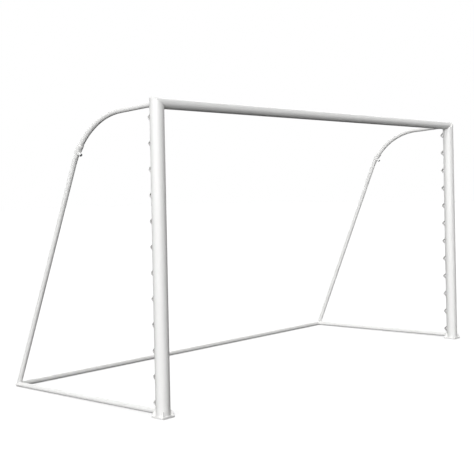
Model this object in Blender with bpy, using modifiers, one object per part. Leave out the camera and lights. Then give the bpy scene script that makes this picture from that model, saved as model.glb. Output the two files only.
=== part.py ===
"""Mini soccer goal: a free-standing frame of welded steel tube, without its net.

Metres. +X runs along the crossbar, +Y from the goal mouth to the rear, +Z is up.
The origin lies on the ground, under the middle of the whole frame.

Each side of the frame lies in one upright plane: a post on a base plate, a bent
upper stay, a sleeve with a lock bolt, a rear leg and a side rail on the ground.
The crossbar and the rear ground rail join the two sides.
"""

import math

import bmesh
import bpy
from mathutils import Vector

# Overall size
GOAL_WIDTH = 3.50           # between the axes of the two posts
GOAL_HEIGHT = 1.896         # ground to the top of the crossbar
GOAL_DEPTH = 1.445          # post axis to the axis of the rear ground rail

# Tubes
POST_RADIUS = 0.0889 / 2
POST_WALL = 0.0025
BAR_RADIUS = 0.066 / 2
BAR_WALL = 0.0025
TUBE_RADIUS = 0.0337 / 2    # stays, legs and ground rails
TUBE_WALL = 0.0026
POST_SIDES = 48
TUBE_SIDES = 24

# Bend in the upper stay and the top of the leg
STAY_SLOPE = math.radians(3.5)
LEG_SLOPE = math.radians(66.5)
BEND_RADIUS = 0.545
BEND_STEPS = 27

# Sleeve over the joint between stay and leg, in steps along the bend
SLEEVE_TOP_STEP = 20
SLEEVE_END_STEP = 23
JOINT_STEP = 21.5
LOCK_STEP = 22.5
JOINT_GAP_STEPS = 0.05
SLEEVE_WALL = 0.00405

# Lock bolt through the sleeve into the leg
BOLT_RADIUS = 0.012 / 2
BOLT_TIP = 0.008            # from the leg's axis to the tip of the tightened bolt
BOLT_SIDES = 24
HEX_ACROSS_FLATS = 0.019
BOLT_HEAD_HEIGHT = 0.0075
NUT_HEIGHT = 0.010
THREAD_PLAY = 0.00005       # between the bolt and its nut, all round
DRILL_RADIUS = 0.013 / 2    # holes in the sleeve and the leg

# Base plate, its gussets and the mitred corner above the post
PLATE_SIZE = 0.100
PLATE_THICKNESS = 0.012
PLATE_CORNER_RADIUS = 0.004
GUSSET_HEIGHT = 0.032
GUSSET_REACH = 0.0225
GUSSET_THICKNESS = 0.006
GUSSET_NOSE = 0.006
GUSSET_CLIP = 0.005
GUSSETS_PER_POST = 4
CORNER_PLATE_THICKNESS = 0.003

# Caps on the rear ends of the side rails
CAP_THICKNESS = 0.0025

# Net loops down the rear of each post
LOOP_COUNT = 12
LOOP_LOWEST = 0.082         # ground to the middle of the lowest loop
LOOP_TOP_DROP = 0.115       # top of the crossbar to the middle of the highest loop
LOOP_WIDTH = 0.025          # the loops are bent from flat bar, 25 x 5 mm
LOOP_THICKNESS = 0.005
LOOP_REACH = 0.024          # from the post's surface to the outside of the loop
LOOP_ROOT = 0.006           # how far the arms are drawn into the post, to be cut off there
LOOP_HALF_BASE = 0.029
LOOP_NOSE_RADIUS = 0.010    # of the bar's middle
LOOP_NOSE_STEPS = 6

# Modelling clearances
SEAT = 0.0003               # between pieces that touch
OVERRUN = 0.006             # how far a cutter runs past what it cuts
MERGE = 0.00001
CUTTER_SIZE = 0.4

# Heights and places that follow from the sizes above
POST_X = GOAL_WIDTH / 2
BAR_HEIGHT = GOAL_HEIGHT - BAR_RADIUS
SLEEVE_RADIUS = TUBE_RADIUS + SEAT + SLEEVE_WALL
RAIL_REAR_HEIGHT = TUBE_RADIUS
RAIL_END = GOAL_DEPTH + TUBE_RADIUS / math.sin(LEG_SLOPE)
CORNER_BOTTOM = GOAL_HEIGHT - 4 * BAR_RADIUS
FRAME_MIDDLE = (RAIL_END - PLATE_SIZE / 2) / 2
MITRE_ANGLE = math.atan2(BAR_RADIUS, POST_RADIUS)
LOOP_PITCH = (GOAL_HEIGHT - LOOP_TOP_DROP - LOOP_LOWEST) / (LOOP_COUNT - 1)

WHITE_PAINT = ("white_paint", (0.90, 0.90, 0.89), 0.35, 0.0)
LOOP_PAINT = ("grey_paint", (0.72, 0.72, 0.71), 0.50, 0.0)
ZINC = ("zinc_plate", (0.62, 0.63, 0.64), 0.35, 1.0)


def clear_objects():
    for item in list(bpy.data.objects):
        bpy.data.objects.remove(item, do_unlink=True)


def new_collection(name):
    collection = bpy.data.collections.new(name)
    bpy.context.scene.collection.children.link(collection)
    return collection


def make_material(name, colour, roughness, metallic):
    material = bpy.data.materials.get(name)
    if material is None:
        material = bpy.data.materials.new(name)
        material.use_nodes = True
        shader = material.node_tree.nodes["Principled BSDF"]
        shader.inputs["Base Color"].default_value = (*colour, 1.0)
        shader.inputs["Roughness"].default_value = roughness
        shader.inputs["Metallic"].default_value = metallic
    return material


def make_empty(name, location, parent=None, turn=0.0):
    """An empty that carries other pieces, turned about X."""
    empty = bpy.data.objects.new(name, None)
    empty.location = location
    empty.rotation_euler = (turn, 0.0, 0.0)
    empty.parent = parent
    PIECES.objects.link(empty)
    return empty


def link_piece(obj, parent, finish=WHITE_PAINT):
    """Put an object among the pieces, with its finish and smooth round faces."""
    for collection in list(obj.users_collection):
        collection.objects.unlink(obj)
    PIECES.objects.link(obj)
    obj.parent = parent
    obj.data.materials.clear()
    obj.data.materials.append(make_material(*finish))
    obj.data.shade_smooth()
    obj.data.set_sharp_from_angle(angle=math.radians(30))
    return obj


def link_cutter(obj, parent):
    """Put an object among the cutters, where it only shapes its neighbours."""
    for collection in list(obj.users_collection):
        collection.objects.unlink(obj)
    CUTTERS.objects.link(obj)
    obj.parent = parent
    obj.hide_render = True
    obj.display_type = 'WIRE'
    return obj


def cut(obj, *cutters, operation='DIFFERENCE'):
    for cutter in cutters:
        modifier = obj.modifiers.new(cutter.name, 'BOOLEAN')
        modifier.operation = operation
        modifier.solver = 'EXACT'
        modifier.object = cutter


def mesh_from_curve(name, curve):
    """A closed mesh object from a curve, with its caps welded on."""
    holder = bpy.data.objects.new(name, curve)
    bpy.context.scene.collection.objects.link(holder)
    bpy.context.view_layer.update()
    evaluated = holder.evaluated_get(bpy.context.evaluated_depsgraph_get())
    mesh = bpy.data.meshes.new_from_object(evaluated)
    place = holder.matrix_world.copy()
    bpy.data.objects.remove(holder, do_unlink=True)
    bpy.data.curves.remove(curve)
    faces = bmesh.new()
    faces.from_mesh(mesh)
    bmesh.ops.remove_doubles(faces, verts=faces.verts, dist=MERGE)
    bmesh.ops.recalc_face_normals(faces, faces=faces.faces)
    faces.to_mesh(mesh)
    faces.free()
    mesh.name = name
    obj = bpy.data.objects.new(name, mesh)
    obj.matrix_world = place
    bpy.context.scene.collection.objects.link(obj)
    return obj


def rod(name, points, radius, sides=TUBE_SIDES, flats_out=False):
    """A solid round bar along a line of points.

    Where one bar meets another, flats_out turns its section by half a side, so
    that its facets and not its edges face the other bar.
    """
    curve = bpy.data.curves.new(name, 'CURVE')
    curve.dimensions = '3D'
    curve.bevel_depth = radius
    curve.bevel_resolution = sides // 2 - 2
    curve.use_fill_caps = True
    spline = curve.splines.new('POLY')
    spline.points.add(len(points) - 1)
    for point, place in zip(spline.points, points):
        point.co = (*place, 1.0)
        point.tilt = math.pi / sides if flats_out else 0.0
    return mesh_from_curve(name, curve)


def stretched(points, length):
    """The same line, made longer at both ends."""
    line = [Vector(point) for point in points]
    first = line[0] + (line[0] - line[1]).normalized() * length
    last = line[-1] + (line[-1] - line[-2]).normalized() * length
    return [first, *line[1:-1], last]


def tube(name, points, radius, wall, parent, sides=TUBE_SIDES, flats_out=False):
    """A round tube along a line of points, open at both ends.

    The bore's facets lie half a side on from the outer ones, so that no diagonal
    of an end face runs through a corner of the bore.
    """
    obj = link_piece(rod(name, points, radius, sides, flats_out), parent)
    line = stretched(points, OVERRUN)
    inside = rod(name + "_inside", line, radius - wall, sides, not flats_out)
    cut(obj, link_cutter(inside, parent))
    return obj


def post_rod(name, bottom, top, clearance=0.0):
    """A solid bar along the post's axis, as wide as the post and a clearance."""
    line = [(0.0, 0.0, bottom), (0.0, 0.0, top)]
    return rod(name, line, POST_RADIUS + clearance, POST_SIDES, flats_out=True)


def plate_outline(name, outline, thickness):
    """A flat plate from a closed outline in the local XY plane."""
    curve = bpy.data.curves.new(name, 'CURVE')
    curve.dimensions = '2D'
    curve.fill_mode = 'BOTH'
    curve.extrude = thickness / 2
    spline = curve.splines.new('POLY')
    spline.points.add(len(outline) - 1)
    for point, (along, up) in zip(spline.points, outline):
        point.co = (along, up, 0.0, 1.0)
    spline.use_cyclic_u = True
    return mesh_from_curve(name, curve)


def side_name(side):
    return "left" if side < 0 else "right"


def bend_point(step):
    """A point on the axis of the bend, as (x, y, z) in the side's own frame."""
    slope = bend_slope(step)
    reach = math.sin(slope) - math.sin(STAY_SLOPE)
    drop = math.cos(STAY_SLOPE) - math.cos(slope)
    along = straight_run() + BEND_RADIUS * reach
    height = BAR_HEIGHT - straight_run() * math.tan(STAY_SLOPE) - BEND_RADIUS * drop
    return (0.0, along, height)


def bend_slope(step):
    return STAY_SLOPE + (LEG_SLOPE - STAY_SLOPE) * step / BEND_STEPS


def straight_run():
    """How far the stay runs straight, so that the leg lands at the goal's depth."""
    bend_reach = BEND_RADIUS * (math.sin(LEG_SLOPE) - math.sin(STAY_SLOPE))
    bend_drop = BEND_RADIUS * (math.cos(STAY_SLOPE) - math.cos(LEG_SLOPE))
    leg_drop = BAR_HEIGHT - bend_drop - rail_point(GOAL_DEPTH)[2]
    leg_reach = leg_drop / math.tan(LEG_SLOPE)
    ratio = math.tan(STAY_SLOPE) / math.tan(LEG_SLOPE)
    return (GOAL_DEPTH - bend_reach - leg_reach) / (1 - ratio)


def rail_front_height():
    """Height of the side rail at the post axis, with its tube resting on the plate."""
    share = (PLATE_SIZE / 2) / RAIL_END
    height_over_plate_edge = PLATE_THICKNESS + SEAT + TUBE_RADIUS
    return (height_over_plate_edge - share * RAIL_REAR_HEIGHT) / (1 - share)


def rail_point(along):
    """A point on the axis of the side rail, which falls slightly to the rear."""
    front = rail_front_height()
    fall = (front - RAIL_REAR_HEIGHT) / RAIL_END
    return (0.0, along, front - fall * along)


def mitre_block(name, side, direction, offset, parent):
    """A block whose face lies on the mitre plane at a post's top corner."""
    normal = Vector((-side * math.sin(MITRE_ANGLE), 0.0, math.cos(MITRE_ANGLE)))
    middle = Vector((0.0, 0.0, BAR_HEIGHT))
    centre = middle + normal * (offset + direction * CUTTER_SIZE / 2)
    bpy.ops.mesh.primitive_cube_add(size=CUTTER_SIZE)
    block = bpy.context.object
    block.name = name
    block.location = centre
    block.rotation_euler = (0.0, -side * MITRE_ANGLE, 0.0)
    return link_cutter(block, parent)


def build_post(side, carrier, cope):
    """Post, base plate, gussets and the plate that closes the mitred top."""
    name = side_name(side)
    over_top = GOAL_HEIGHT + OVERRUN
    under_plate = -CORNER_PLATE_THICKNESS

    line = [(0.0, 0.0, PLATE_THICKNESS + SEAT), (0.0, 0.0, over_top)]
    post = tube(
        name + "_post", line, POST_RADIUS, POST_WALL, carrier, POST_SIDES, flats_out=True)
    cut(post, mitre_block(name + "_post_mitre", side, 1, under_plate - SEAT, carrier))

    plate = post_rod(name + "_corner_plate", CORNER_BOTTOM, over_top)
    link_piece(plate, carrier)
    cut(plate,
        mitre_block(name + "_corner_over", side, 1, 0.0, carrier),
        mitre_block(name + "_corner_under", side, -1, under_plate, carrier))

    build_base_plate(name, carrier)
    for number in range(GUSSETS_PER_POST):
        build_gusset(name, number, carrier)
    for number in range(LOOP_COUNT):
        build_net_loop(name, number, carrier, cope)


def build_base_plate(name, carrier):
    bpy.ops.mesh.primitive_cube_add(size=1.0)
    plate = bpy.context.object
    plate.name = name + "_base_plate"
    plate.scale = (PLATE_SIZE, PLATE_SIZE, PLATE_THICKNESS)
    bpy.ops.object.transform_apply(location=False, rotation=False, scale=True)
    plate.location = (0.0, 0.0, PLATE_THICKNESS / 2)
    link_piece(plate, carrier)
    corners = plate.data.attributes.new("bevel_weight_edge", 'FLOAT', 'EDGE')
    for edge in plate.data.edges:
        ends = [plate.data.vertices[index].co.z for index in edge.vertices]
        corners.data[edge.index].value = float(abs(ends[0] - ends[1]) > MERGE)
    bevel = plate.modifiers.new("Rounded corners", 'BEVEL')
    bevel.limit_method = 'WEIGHT'
    bevel.width = PLATE_CORNER_RADIUS
    bevel.segments = 3


def build_gusset(name, number, carrier):
    """A triangular gusset on one diagonal of the base plate."""
    inner = POST_RADIUS + SEAT
    outline = [
        (inner + GUSSET_CLIP, 0.0),
        (inner + GUSSET_REACH, 0.0),
        (inner + GUSSET_REACH, GUSSET_NOSE),
        (inner + GUSSET_NOSE, GUSSET_HEIGHT),
        (inner, GUSSET_HEIGHT),
        (inner, GUSSET_CLIP),
    ]
    gusset = plate_outline(f"{name}_gusset_{number + 1}", outline, GUSSET_THICKNESS)
    link_piece(gusset, carrier)
    gusset.location = (0.0, 0.0, PLATE_THICKNESS + SEAT)
    turn = math.radians(45 + 90 * number)
    gusset.rotation_euler = (math.radians(90), 0.0, turn)


def loop_line(offset):
    """A line along a net loop, an offset outside the bar's middle: two arms and a nose.

    Its two numbers are the distance from the post's axis and the height.
    """
    nose = POST_RADIUS + LOOP_REACH - LOOP_THICKNESS / 2 - LOOP_NOSE_RADIUS
    root = POST_RADIUS - LOOP_ROOT
    length = math.hypot(nose - root, LOOP_HALF_BASE)
    lean = math.atan2(LOOP_HALF_BASE, nose - root)
    touch = math.pi - lean - math.acos(LOOP_NOSE_RADIUS / length)
    foot = root + offset * math.cos(touch)
    height = LOOP_HALF_BASE + offset * math.sin(touch)
    radius = LOOP_NOSE_RADIUS + offset
    points = [(foot, height)]
    for step in range(LOOP_NOSE_STEPS + 1):
        angle = touch * (1 - 2 * step / LOOP_NOSE_STEPS)
        points.append((nose + radius * math.cos(angle), radius * math.sin(angle)))
    points.append((foot, -height))
    return points


def build_net_loop(name, number, carrier, cope):
    outline = [*loop_line(LOOP_THICKNESS / 2), *reversed(loop_line(-LOOP_THICKNESS / 2))]
    loop = plate_outline(f"{name}_net_loop_{number + 1:02d}", outline, LOOP_WIDTH)
    link_piece(loop, carrier, LOOP_PAINT)
    loop.location = (0.0, 0.0, LOOP_LOWEST + number * LOOP_PITCH)
    loop.rotation_euler = (math.radians(90), 0.0, math.radians(90))
    cut(loop, cope)


def corner_copes(side, carrier):
    """Cutters that fit the stay to the mitred corner: to the post below, the bar above."""
    name = side_name(side)
    top = GOAL_HEIGHT + OVERRUN
    on_post = post_rod(name + "_corner_post_cope", CORNER_BOTTOM, top, SEAT)
    cut(on_post, mitre_block(name + "_corner_cope_top", side, 1, SEAT, carrier))
    line = [(-2 * POST_RADIUS, 0.0, BAR_HEIGHT), (2 * POST_RADIUS, 0.0, BAR_HEIGHT)]
    on_bar = rod(name + "_corner_bar_cope", line, BAR_RADIUS + SEAT, POST_SIDES)
    return [link_cutter(on_post, carrier), link_cutter(on_bar, carrier)]


def build_stay_and_leg(side, carrier, rail_cope):
    """Bent upper stay, sleeve, lock bolt with its nut, and rear leg."""
    name = side_name(side)
    stay_end = JOINT_STEP - JOINT_GAP_STEPS
    leg_start = JOINT_STEP + JOINT_GAP_STEPS
    before = [bend_point(step) for step in range(math.ceil(stay_end))]
    after = [bend_point(step) for step in range(math.ceil(leg_start), BEND_STEPS + 1)]

    line = [(0.0, 0.0, BAR_HEIGHT), *before, bend_point(stay_end)]
    stay = tube(
        name + "_upper_stay", line, TUBE_RADIUS, TUBE_WALL, carrier, flats_out=True)
    cut(stay, *corner_copes(side, carrier))

    line = [bend_point(leg_start), *after, rail_point(GOAL_DEPTH)]
    leg = tube(
        name + "_rear_leg", line, TUBE_RADIUS, TUBE_WALL, carrier, flats_out=True)
    cut(leg, rail_cope)

    steps = range(SLEEVE_TOP_STEP, SLEEVE_END_STEP + 1)
    line = [bend_point(step) for step in steps]
    sleeve = tube(name + "_stay_sleeve", line, SLEEVE_RADIUS, SLEEVE_WALL, carrier)

    # The empty's +Z points out of the sleeve, towards the inside of the bend.
    turn = math.pi - bend_slope(LOCK_STEP)
    lock = make_empty(name + "_lock_axis", bend_point(LOCK_STEP), carrier, turn)
    drill = upright_bar(name + "_lock_drill", DRILL_RADIUS, 0.0, 2 * SLEEVE_RADIUS)
    link_cutter(drill, lock)
    cut(leg, drill)
    cut(sleeve, drill)
    outside = rod(name + "_sleeve_cope", stretched(line, OVERRUN), SLEEVE_RADIUS + SEAT)
    build_lock(name, lock, link_cutter(outside, carrier))


def upright_bar(name, radius, bottom, top, sides=BOLT_SIDES):
    """A bar along its own Z, turned by half a side so that no edge lies at X = 0."""
    middle = (0.0, 0.0, (top + bottom) / 2)
    half_side = (0.0, 0.0, math.pi / sides)
    bpy.ops.mesh.primitive_cylinder_add(
        vertices=sides, radius=radius, depth=top - bottom, location=middle,
        rotation=half_side)
    bpy.ops.object.transform_apply(location=True, rotation=True, scale=False)
    bar = bpy.context.object
    bar.name = name
    return bar


def build_lock(name, lock, sleeve_cope):
    """Welded nut on the sleeve and the hexagon bolt that screws through it."""
    hex_radius = HEX_ACROSS_FLATS / math.sqrt(3)
    nut_top = SLEEVE_RADIUS + NUT_HEIGHT
    nut_bottom = SLEEVE_RADIUS - NUT_HEIGHT / 2

    nut = upright_bar(name + "_lock_nut", hex_radius, nut_bottom, nut_top, 6)
    link_piece(nut, lock)
    thread = upright_bar(
        name + "_nut_thread", BOLT_RADIUS + THREAD_PLAY, 0.0, nut_top + OVERRUN)
    cut(nut, sleeve_cope, link_cutter(thread, lock))

    head_bottom = nut_top + SEAT
    overlap = BOLT_HEAD_HEIGHT / 2
    bolt = upright_bar(
        name + "_lock_bolt", BOLT_RADIUS, BOLT_TIP, head_bottom + overlap)
    link_piece(bolt, lock, ZINC)
    head = upright_bar(
        name + "_bolt_head", hex_radius, head_bottom, head_bottom + BOLT_HEAD_HEIGHT, 6)
    cut(bolt, link_cutter(head, lock), operation='UNION')


def build_side_rail(side, carrier, post_cope):
    """Ground rail from the post to the foot of the leg, with a cap on its end."""
    name = side_name(side)
    tube_end = RAIL_END - CAP_THICKNESS - SEAT
    line = [rail_point(0.0), rail_point(tube_end)]
    rail = tube(name + "_side_rail", line, TUBE_RADIUS, TUBE_WALL, carrier)
    cut(rail, post_cope)
    line = [rail_point(RAIL_END - CAP_THICKNESS), rail_point(RAIL_END)]
    link_piece(rod(name + "_rail_cap", line, TUBE_RADIUS), carrier)


def build_side(side, goal):
    """One side of the frame. Returns the cutters that shape the rear ground rail."""
    name = side_name(side)
    carrier = make_empty(name + "_side", (side * POST_X, 0.0, 0.0), goal)

    post_cope = post_rod(name + "_post_cope", -OVERRUN, GOAL_HEIGHT + OVERRUN, SEAT)
    link_cutter(post_cope, carrier)
    line = [rail_point(0.0), rail_point(RAIL_END)]
    rail_cope = rod(name + "_rail_cope", stretched(line, OVERRUN), TUBE_RADIUS + SEAT)
    link_cutter(rail_cope, carrier)
    line = [bend_point(BEND_STEPS), rail_point(GOAL_DEPTH)]
    leg_cope = rod(name + "_leg_cope", line, TUBE_RADIUS + SEAT, flats_out=True)
    link_cutter(leg_cope, carrier)

    build_post(side, carrier, post_cope)
    build_stay_and_leg(side, carrier, rail_cope)
    build_side_rail(side, carrier, post_cope)
    return [rail_cope, leg_cope]


def build_crossbar(goal):
    """Crossbar between the posts, cut to the mitre at both ends."""
    end = POST_X + POST_RADIUS + OVERRUN
    line = [(-end, 0.0, BAR_HEIGHT), (end, 0.0, BAR_HEIGHT)]
    bar = tube("crossbar", line, BAR_RADIUS, BAR_WALL, goal, POST_SIDES)
    for side in (-1, 1):
        carrier = bpy.data.objects[side_name(side) + "_side"]
        name = side_name(side) + "_bar_mitre"
        cut(bar, mitre_block(name, side, -1, SEAT, carrier))


def build_rear_rail(goal, copes):
    """Ground rail across the rear, fitted between the side rails and legs."""
    height = rail_point(GOAL_DEPTH)[2]
    line = [(-POST_X, GOAL_DEPTH, height), (POST_X, GOAL_DEPTH, height)]
    rail = tube("rear_ground_rail", line, TUBE_RADIUS, TUBE_WALL, goal)
    cut(rail, *copes)


def weld_cut_pieces():
    """Close up the tiny edges that a cut leaves where two facets nearly meet."""
    for piece in PIECES.objects:
        if any(modifier.type == 'BOOLEAN' for modifier in piece.modifiers):
            weld = piece.modifiers.new("Weld", 'WELD')
            weld.merge_threshold = MERGE


clear_objects()
PIECES = new_collection("mini_soccer_goal")
CUTTERS = new_collection("cutters")
goal_frame = make_empty("goal_frame", (0.0, -FRAME_MIDDLE, 0.0))
rear_copes = []
for which_side in (-1, 1):
    rear_copes += build_side(which_side, goal_frame)
build_crossbar(goal_frame)
build_rear_rail(goal_frame, rear_copes)
weld_cut_pieces()
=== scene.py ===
"""Mini soccer goal: smooth tubes, welds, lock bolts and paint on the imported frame.

Metres. +X runs along the crossbar, +Y from the goal mouth to the rear, +Z is up, and the
origin lies on the ground under the middle of the frame.
"""

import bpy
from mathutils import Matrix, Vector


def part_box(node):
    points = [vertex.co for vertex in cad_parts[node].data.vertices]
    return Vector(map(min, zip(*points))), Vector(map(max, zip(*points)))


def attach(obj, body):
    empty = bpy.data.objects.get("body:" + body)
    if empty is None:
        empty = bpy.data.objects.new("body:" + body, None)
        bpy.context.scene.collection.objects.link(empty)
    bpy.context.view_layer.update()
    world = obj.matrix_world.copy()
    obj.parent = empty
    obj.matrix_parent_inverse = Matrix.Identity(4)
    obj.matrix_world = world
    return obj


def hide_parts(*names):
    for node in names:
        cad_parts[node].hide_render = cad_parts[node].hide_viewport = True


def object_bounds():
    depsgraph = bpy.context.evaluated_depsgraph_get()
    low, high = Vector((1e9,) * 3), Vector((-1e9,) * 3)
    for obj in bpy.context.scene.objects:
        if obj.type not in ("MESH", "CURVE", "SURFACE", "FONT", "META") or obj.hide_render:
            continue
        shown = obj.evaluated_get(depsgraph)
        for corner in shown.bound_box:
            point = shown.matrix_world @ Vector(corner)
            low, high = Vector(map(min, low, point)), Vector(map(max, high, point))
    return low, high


bl_info = {
    "name": "Mini Soccer Goal",
    "version": (1, 0, 0),
    "blender": (4, 5, 0),
    "location": "View3D > Sidebar > Soccer Goal",
    "description": "Builds a mini soccer goal of welded and painted steel tube",
    "category": "Add Mesh",
}

import math
from contextlib import contextmanager

import bmesh
import bpy
from bpy.props import FloatProperty, FloatVectorProperty, IntProperty, PointerProperty
from mathutils import Matrix, Vector

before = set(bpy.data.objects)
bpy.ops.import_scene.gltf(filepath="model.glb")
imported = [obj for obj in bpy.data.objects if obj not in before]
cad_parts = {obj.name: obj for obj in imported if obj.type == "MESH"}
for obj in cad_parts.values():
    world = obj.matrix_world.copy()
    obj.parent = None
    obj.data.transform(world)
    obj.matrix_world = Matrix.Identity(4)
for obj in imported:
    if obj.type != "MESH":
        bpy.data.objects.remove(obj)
CAD_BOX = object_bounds()


def node_middle(name):
    low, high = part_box(name)
    return (low + high) / 2


# Sizes of the frame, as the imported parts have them
POST_X = node_middle("right_base_plate").x
POST_Y = node_middle("right_base_plate").y
GOAL_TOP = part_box("crossbar")[1].z
GOAL_DEPTH = 1.445
POST_RADIUS = 0.0889 / 2
POST_WALL = 0.0025
BAR_RADIUS = 0.066 / 2
BAR_WALL = 0.0025
TUBE_RADIUS = 0.0337 / 2
TUBE_WALL = 0.0026
SLEEVE_WALL = 0.00405
SEAT = 0.0003
SLEEVE_RADIUS = TUBE_RADIUS + SEAT + SLEEVE_WALL
STAY_SLOPE = math.radians(3.5)
LEG_SLOPE = math.radians(66.5)
BEND_RADIUS = 0.545
BEND_STEPS = 27
SLEEVE_TOP_STEP = 20
JOINT_STEP = 21.5
LOCK_STEP = 22.5
SLEEVE_END_STEP = 23
JOINT_GAP_STEPS = 0.05
PLATE_SIZE = 0.100
PLATE_THICKNESS = 0.012
PLATE_CORNER_RADIUS = 0.004
GUSSET_HEIGHT = 0.032
GUSSET_REACH = 0.0225
GUSSET_THICKNESS = 0.006
GUSSET_NOSE = 0.006
GUSSET_CLIP = 0.005
CORNER_PLATE_THICKNESS = 0.003
CAP_THICKNESS = 0.0025
LOOP_COUNT = 12
LOOP_LOWEST = 0.082
LOOP_TOP_DROP = 0.115
LOOP_WIDTH = 0.025
LOOP_THICKNESS = 0.005
LOOP_REACH = 0.024
LOOP_ROOT = 0.006
LOOP_HALF_BASE = 0.029
LOOP_NOSE_RADIUS = 0.010
BOLT_RADIUS = 0.012 / 2
BOLT_TIP = 0.008
HEX_ACROSS_FLATS = 0.019
BOLT_HEAD_HEIGHT = 0.0075
NUT_HEIGHT = 0.010
DRILL_RADIUS = 0.013 / 2

BAR_HEIGHT = GOAL_TOP - BAR_RADIUS
MITRE_ANGLE = math.atan2(BAR_RADIUS, POST_RADIUS)
RAIL_END = GOAL_DEPTH + TUBE_RADIUS / math.sin(LEG_SLOPE)
LOOP_PITCH = (GOAL_TOP - LOOP_TOP_DROP - LOOP_LOWEST) / (LOOP_COUNT - 1)
SIDES = (("left", -1), ("right", 1))

# Working sizes of the new pieces
OVERRUN = 0.02               # how far a bar runs past the plane that cuts it off
CUTTER_REACH = 0.1           # how far a cutter runs from the middle of its cut
NEARLY_LEVEL = 0.0001        # a smaller difference in height counts as none
MERGE_DISTANCE = 0.000001    # points closer than this are one point
STAY_ROUNDS = 60             # steps along each bend
SLEEVE_ROUNDS = 12
LEG_ROUNDS = 16
LOOP_NOSE_ROUNDS = 18
DRILL_SIDES = 32
LOOP_END_SHARE = 0.05        # the run next to a loop's nose, as a share of its arm
TOE_CORNERS = ((-1, -1), (1, -1), (1, 1), (-1, 1))
TOE_POINTS = 12              # points along each side of a toe weld
TOE_WELD_SIZE = 0.0019
HEX_FACE_RADIUS = HEX_ACROSS_FLATS / 2 * 0.98
CHAMFER_SLOPE = math.radians(28)
NUT_SINK = 0.0034            # how far the nut's foot lies under the sleeve's outside
NUT_SIDES = 48
THREAD_PLAY = 0.0001
COUNTERSINK_SIZE = 0.0105    # radius and height of the cone that cuts the countersink
COUNTERSINK_DROP = 0.0017    # how far the middle of that cone lies under the nut's top
BOLT_SIDES = 40
THREAD_CUTS = 130
THREAD_DEPTH_SHARE = 0.54    # depth of the thread, as a share of its pitch
THREAD_CREST = 1.25          # above 1, the thread's crests are flat
TIP_TAPER_LENGTH = 0.0016    # the bolt's tip narrows over this length
TIP_TAPER_DEPTH = 0.0012     # by this much in radius
WASHER_FACE_HEIGHT = 0.0008
WASHER_FACE_PROUD = 0.0002   # how far the washer face stands out under the head

# Smoothing angles in degrees
PIECE_SMOOTH = 35
BOLT_SMOOTH = 28
WELD_SMOOTH = 60

# Weld beads
WELD_REACH = 0.2             # how far along a bar the surface that it meets is looked for
BEAD_RIPPLE = (0.84, 0.96, 1.0)    # width at the points of each ripple
BEAD_EASING = 6              # rounds of smoothing for a bead's line
CORNER_SEAM_DEPTH = 0.0017   # how far the seam lies under the mitre's plane
NUT_WELD_RADIUS = HEX_ACROSS_FLATS * 0.55
# Half width as a share of the weld size, distance outside the bar's radius, and points
BEADS = {
    "foot_weld": (1.1, 0.0008, 120),
    "mitre_weld": (0.6, -0.0008, 120),
    "corner_seam": (0.5, -0.0006, 160),
    "stay_weld": (0.8, 0.0, 96),
    "sleeve_weld": (0.8, 0.0012, 96),
    "leg_weld": (0.9, 0.0, 96),
    "rail_weld": (0.9, 0.0, 96),
    "rear_rail_weld": (0.9, 0.0, 96),
    "rail_cap_weld": (0.4, -0.0009, 96),
    "nut_weld": (0.7, 0.0, 72),
}
FILLET_WIDTH = 0.48          # half width of the gussets' fillets, as a share of the weld size
FILLET_INSET = 0.0002        # how far a fillet's line lies inside the gusset's side
FILLET_START = 0.001         # clear run before a fillet starts
FILLET_END = 0.0012          # clear run after it ends
FILLET_STEP = 0.0012         # length of each ripple of a fillet
FILLET_SWELL = 1.16          # how much wider every second ripple is

# Stage
FLOOR_DROP = 0.0004          # how far the floor lies under the frame
FLOOR_BOUNCE = (0.07, 0.07, 0.07, 1)    # the floor's colour as other surfaces see it
LAMP_DISTANCE = 8
WHITE = (1, 1, 1, 1)

# Camera, from the corner points and tube edges of the photograph
CAMERA_PLACE = (-5.5159, -4.6707, 1.3389)
CAMERA_YAW = math.radians(48.404)
CAMERA_PITCH = math.radians(-0.190)
CAMERA_ROLL = math.radians(-1.177)
CAMERA_LENS = 69.892
CAMERA_SHIFT_Y = -0.0928


class GoalDetailSizes(bpy.types.PropertyGroup):
    """Sizes of the details that finish the frame."""

    post_sides: IntProperty(
        name="Post sides", description="Sides round each post and the crossbar",
        default=96, min=24, max=192)
    tube_sides: IntProperty(
        name="Tube sides", description="Sides round each stay, leg, sleeve and rail",
        default=64, min=16, max=128)
    loop_edge: FloatProperty(
        name="Loop edge", description="Rounding of the net loops' long edges",
        default=0.0009, min=0.0002, max=0.002, precision=4, unit='LENGTH')
    plate_edge: FloatProperty(
        name="Plate edge", description="Rounding of the base plates' edges",
        default=0.0012, min=0.0002, max=0.003, precision=4, unit='LENGTH')
    gusset_edge: FloatProperty(
        name="Gusset edge", description="Rounding of the gussets' edges",
        default=0.0007, min=0.0002, max=0.002, precision=4, unit='LENGTH')
    rim_edge: FloatProperty(
        name="Rim edge", description="Rounding of the rims of sleeves, caps and corner plates",
        default=0.0008, min=0.0002, max=0.0012, precision=4, unit='LENGTH')
    weld_size: FloatProperty(
        name="Weld size", description="Half the width of the weld beads on the tubes",
        default=0.0032, min=0.001, max=0.006, precision=4, unit='LENGTH')
    weld_ripple: FloatProperty(
        name="Weld ripple", description="A third of the spacing of the ripples along a bead",
        default=0.0009, min=0.0005, max=0.005, precision=4, unit='LENGTH')
    thread_pitch: FloatProperty(
        name="Thread pitch", description="Pitch of the lock bolts' threads",
        default=0.00175, min=0.0005, max=0.003, precision=5, unit='LENGTH')


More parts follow.
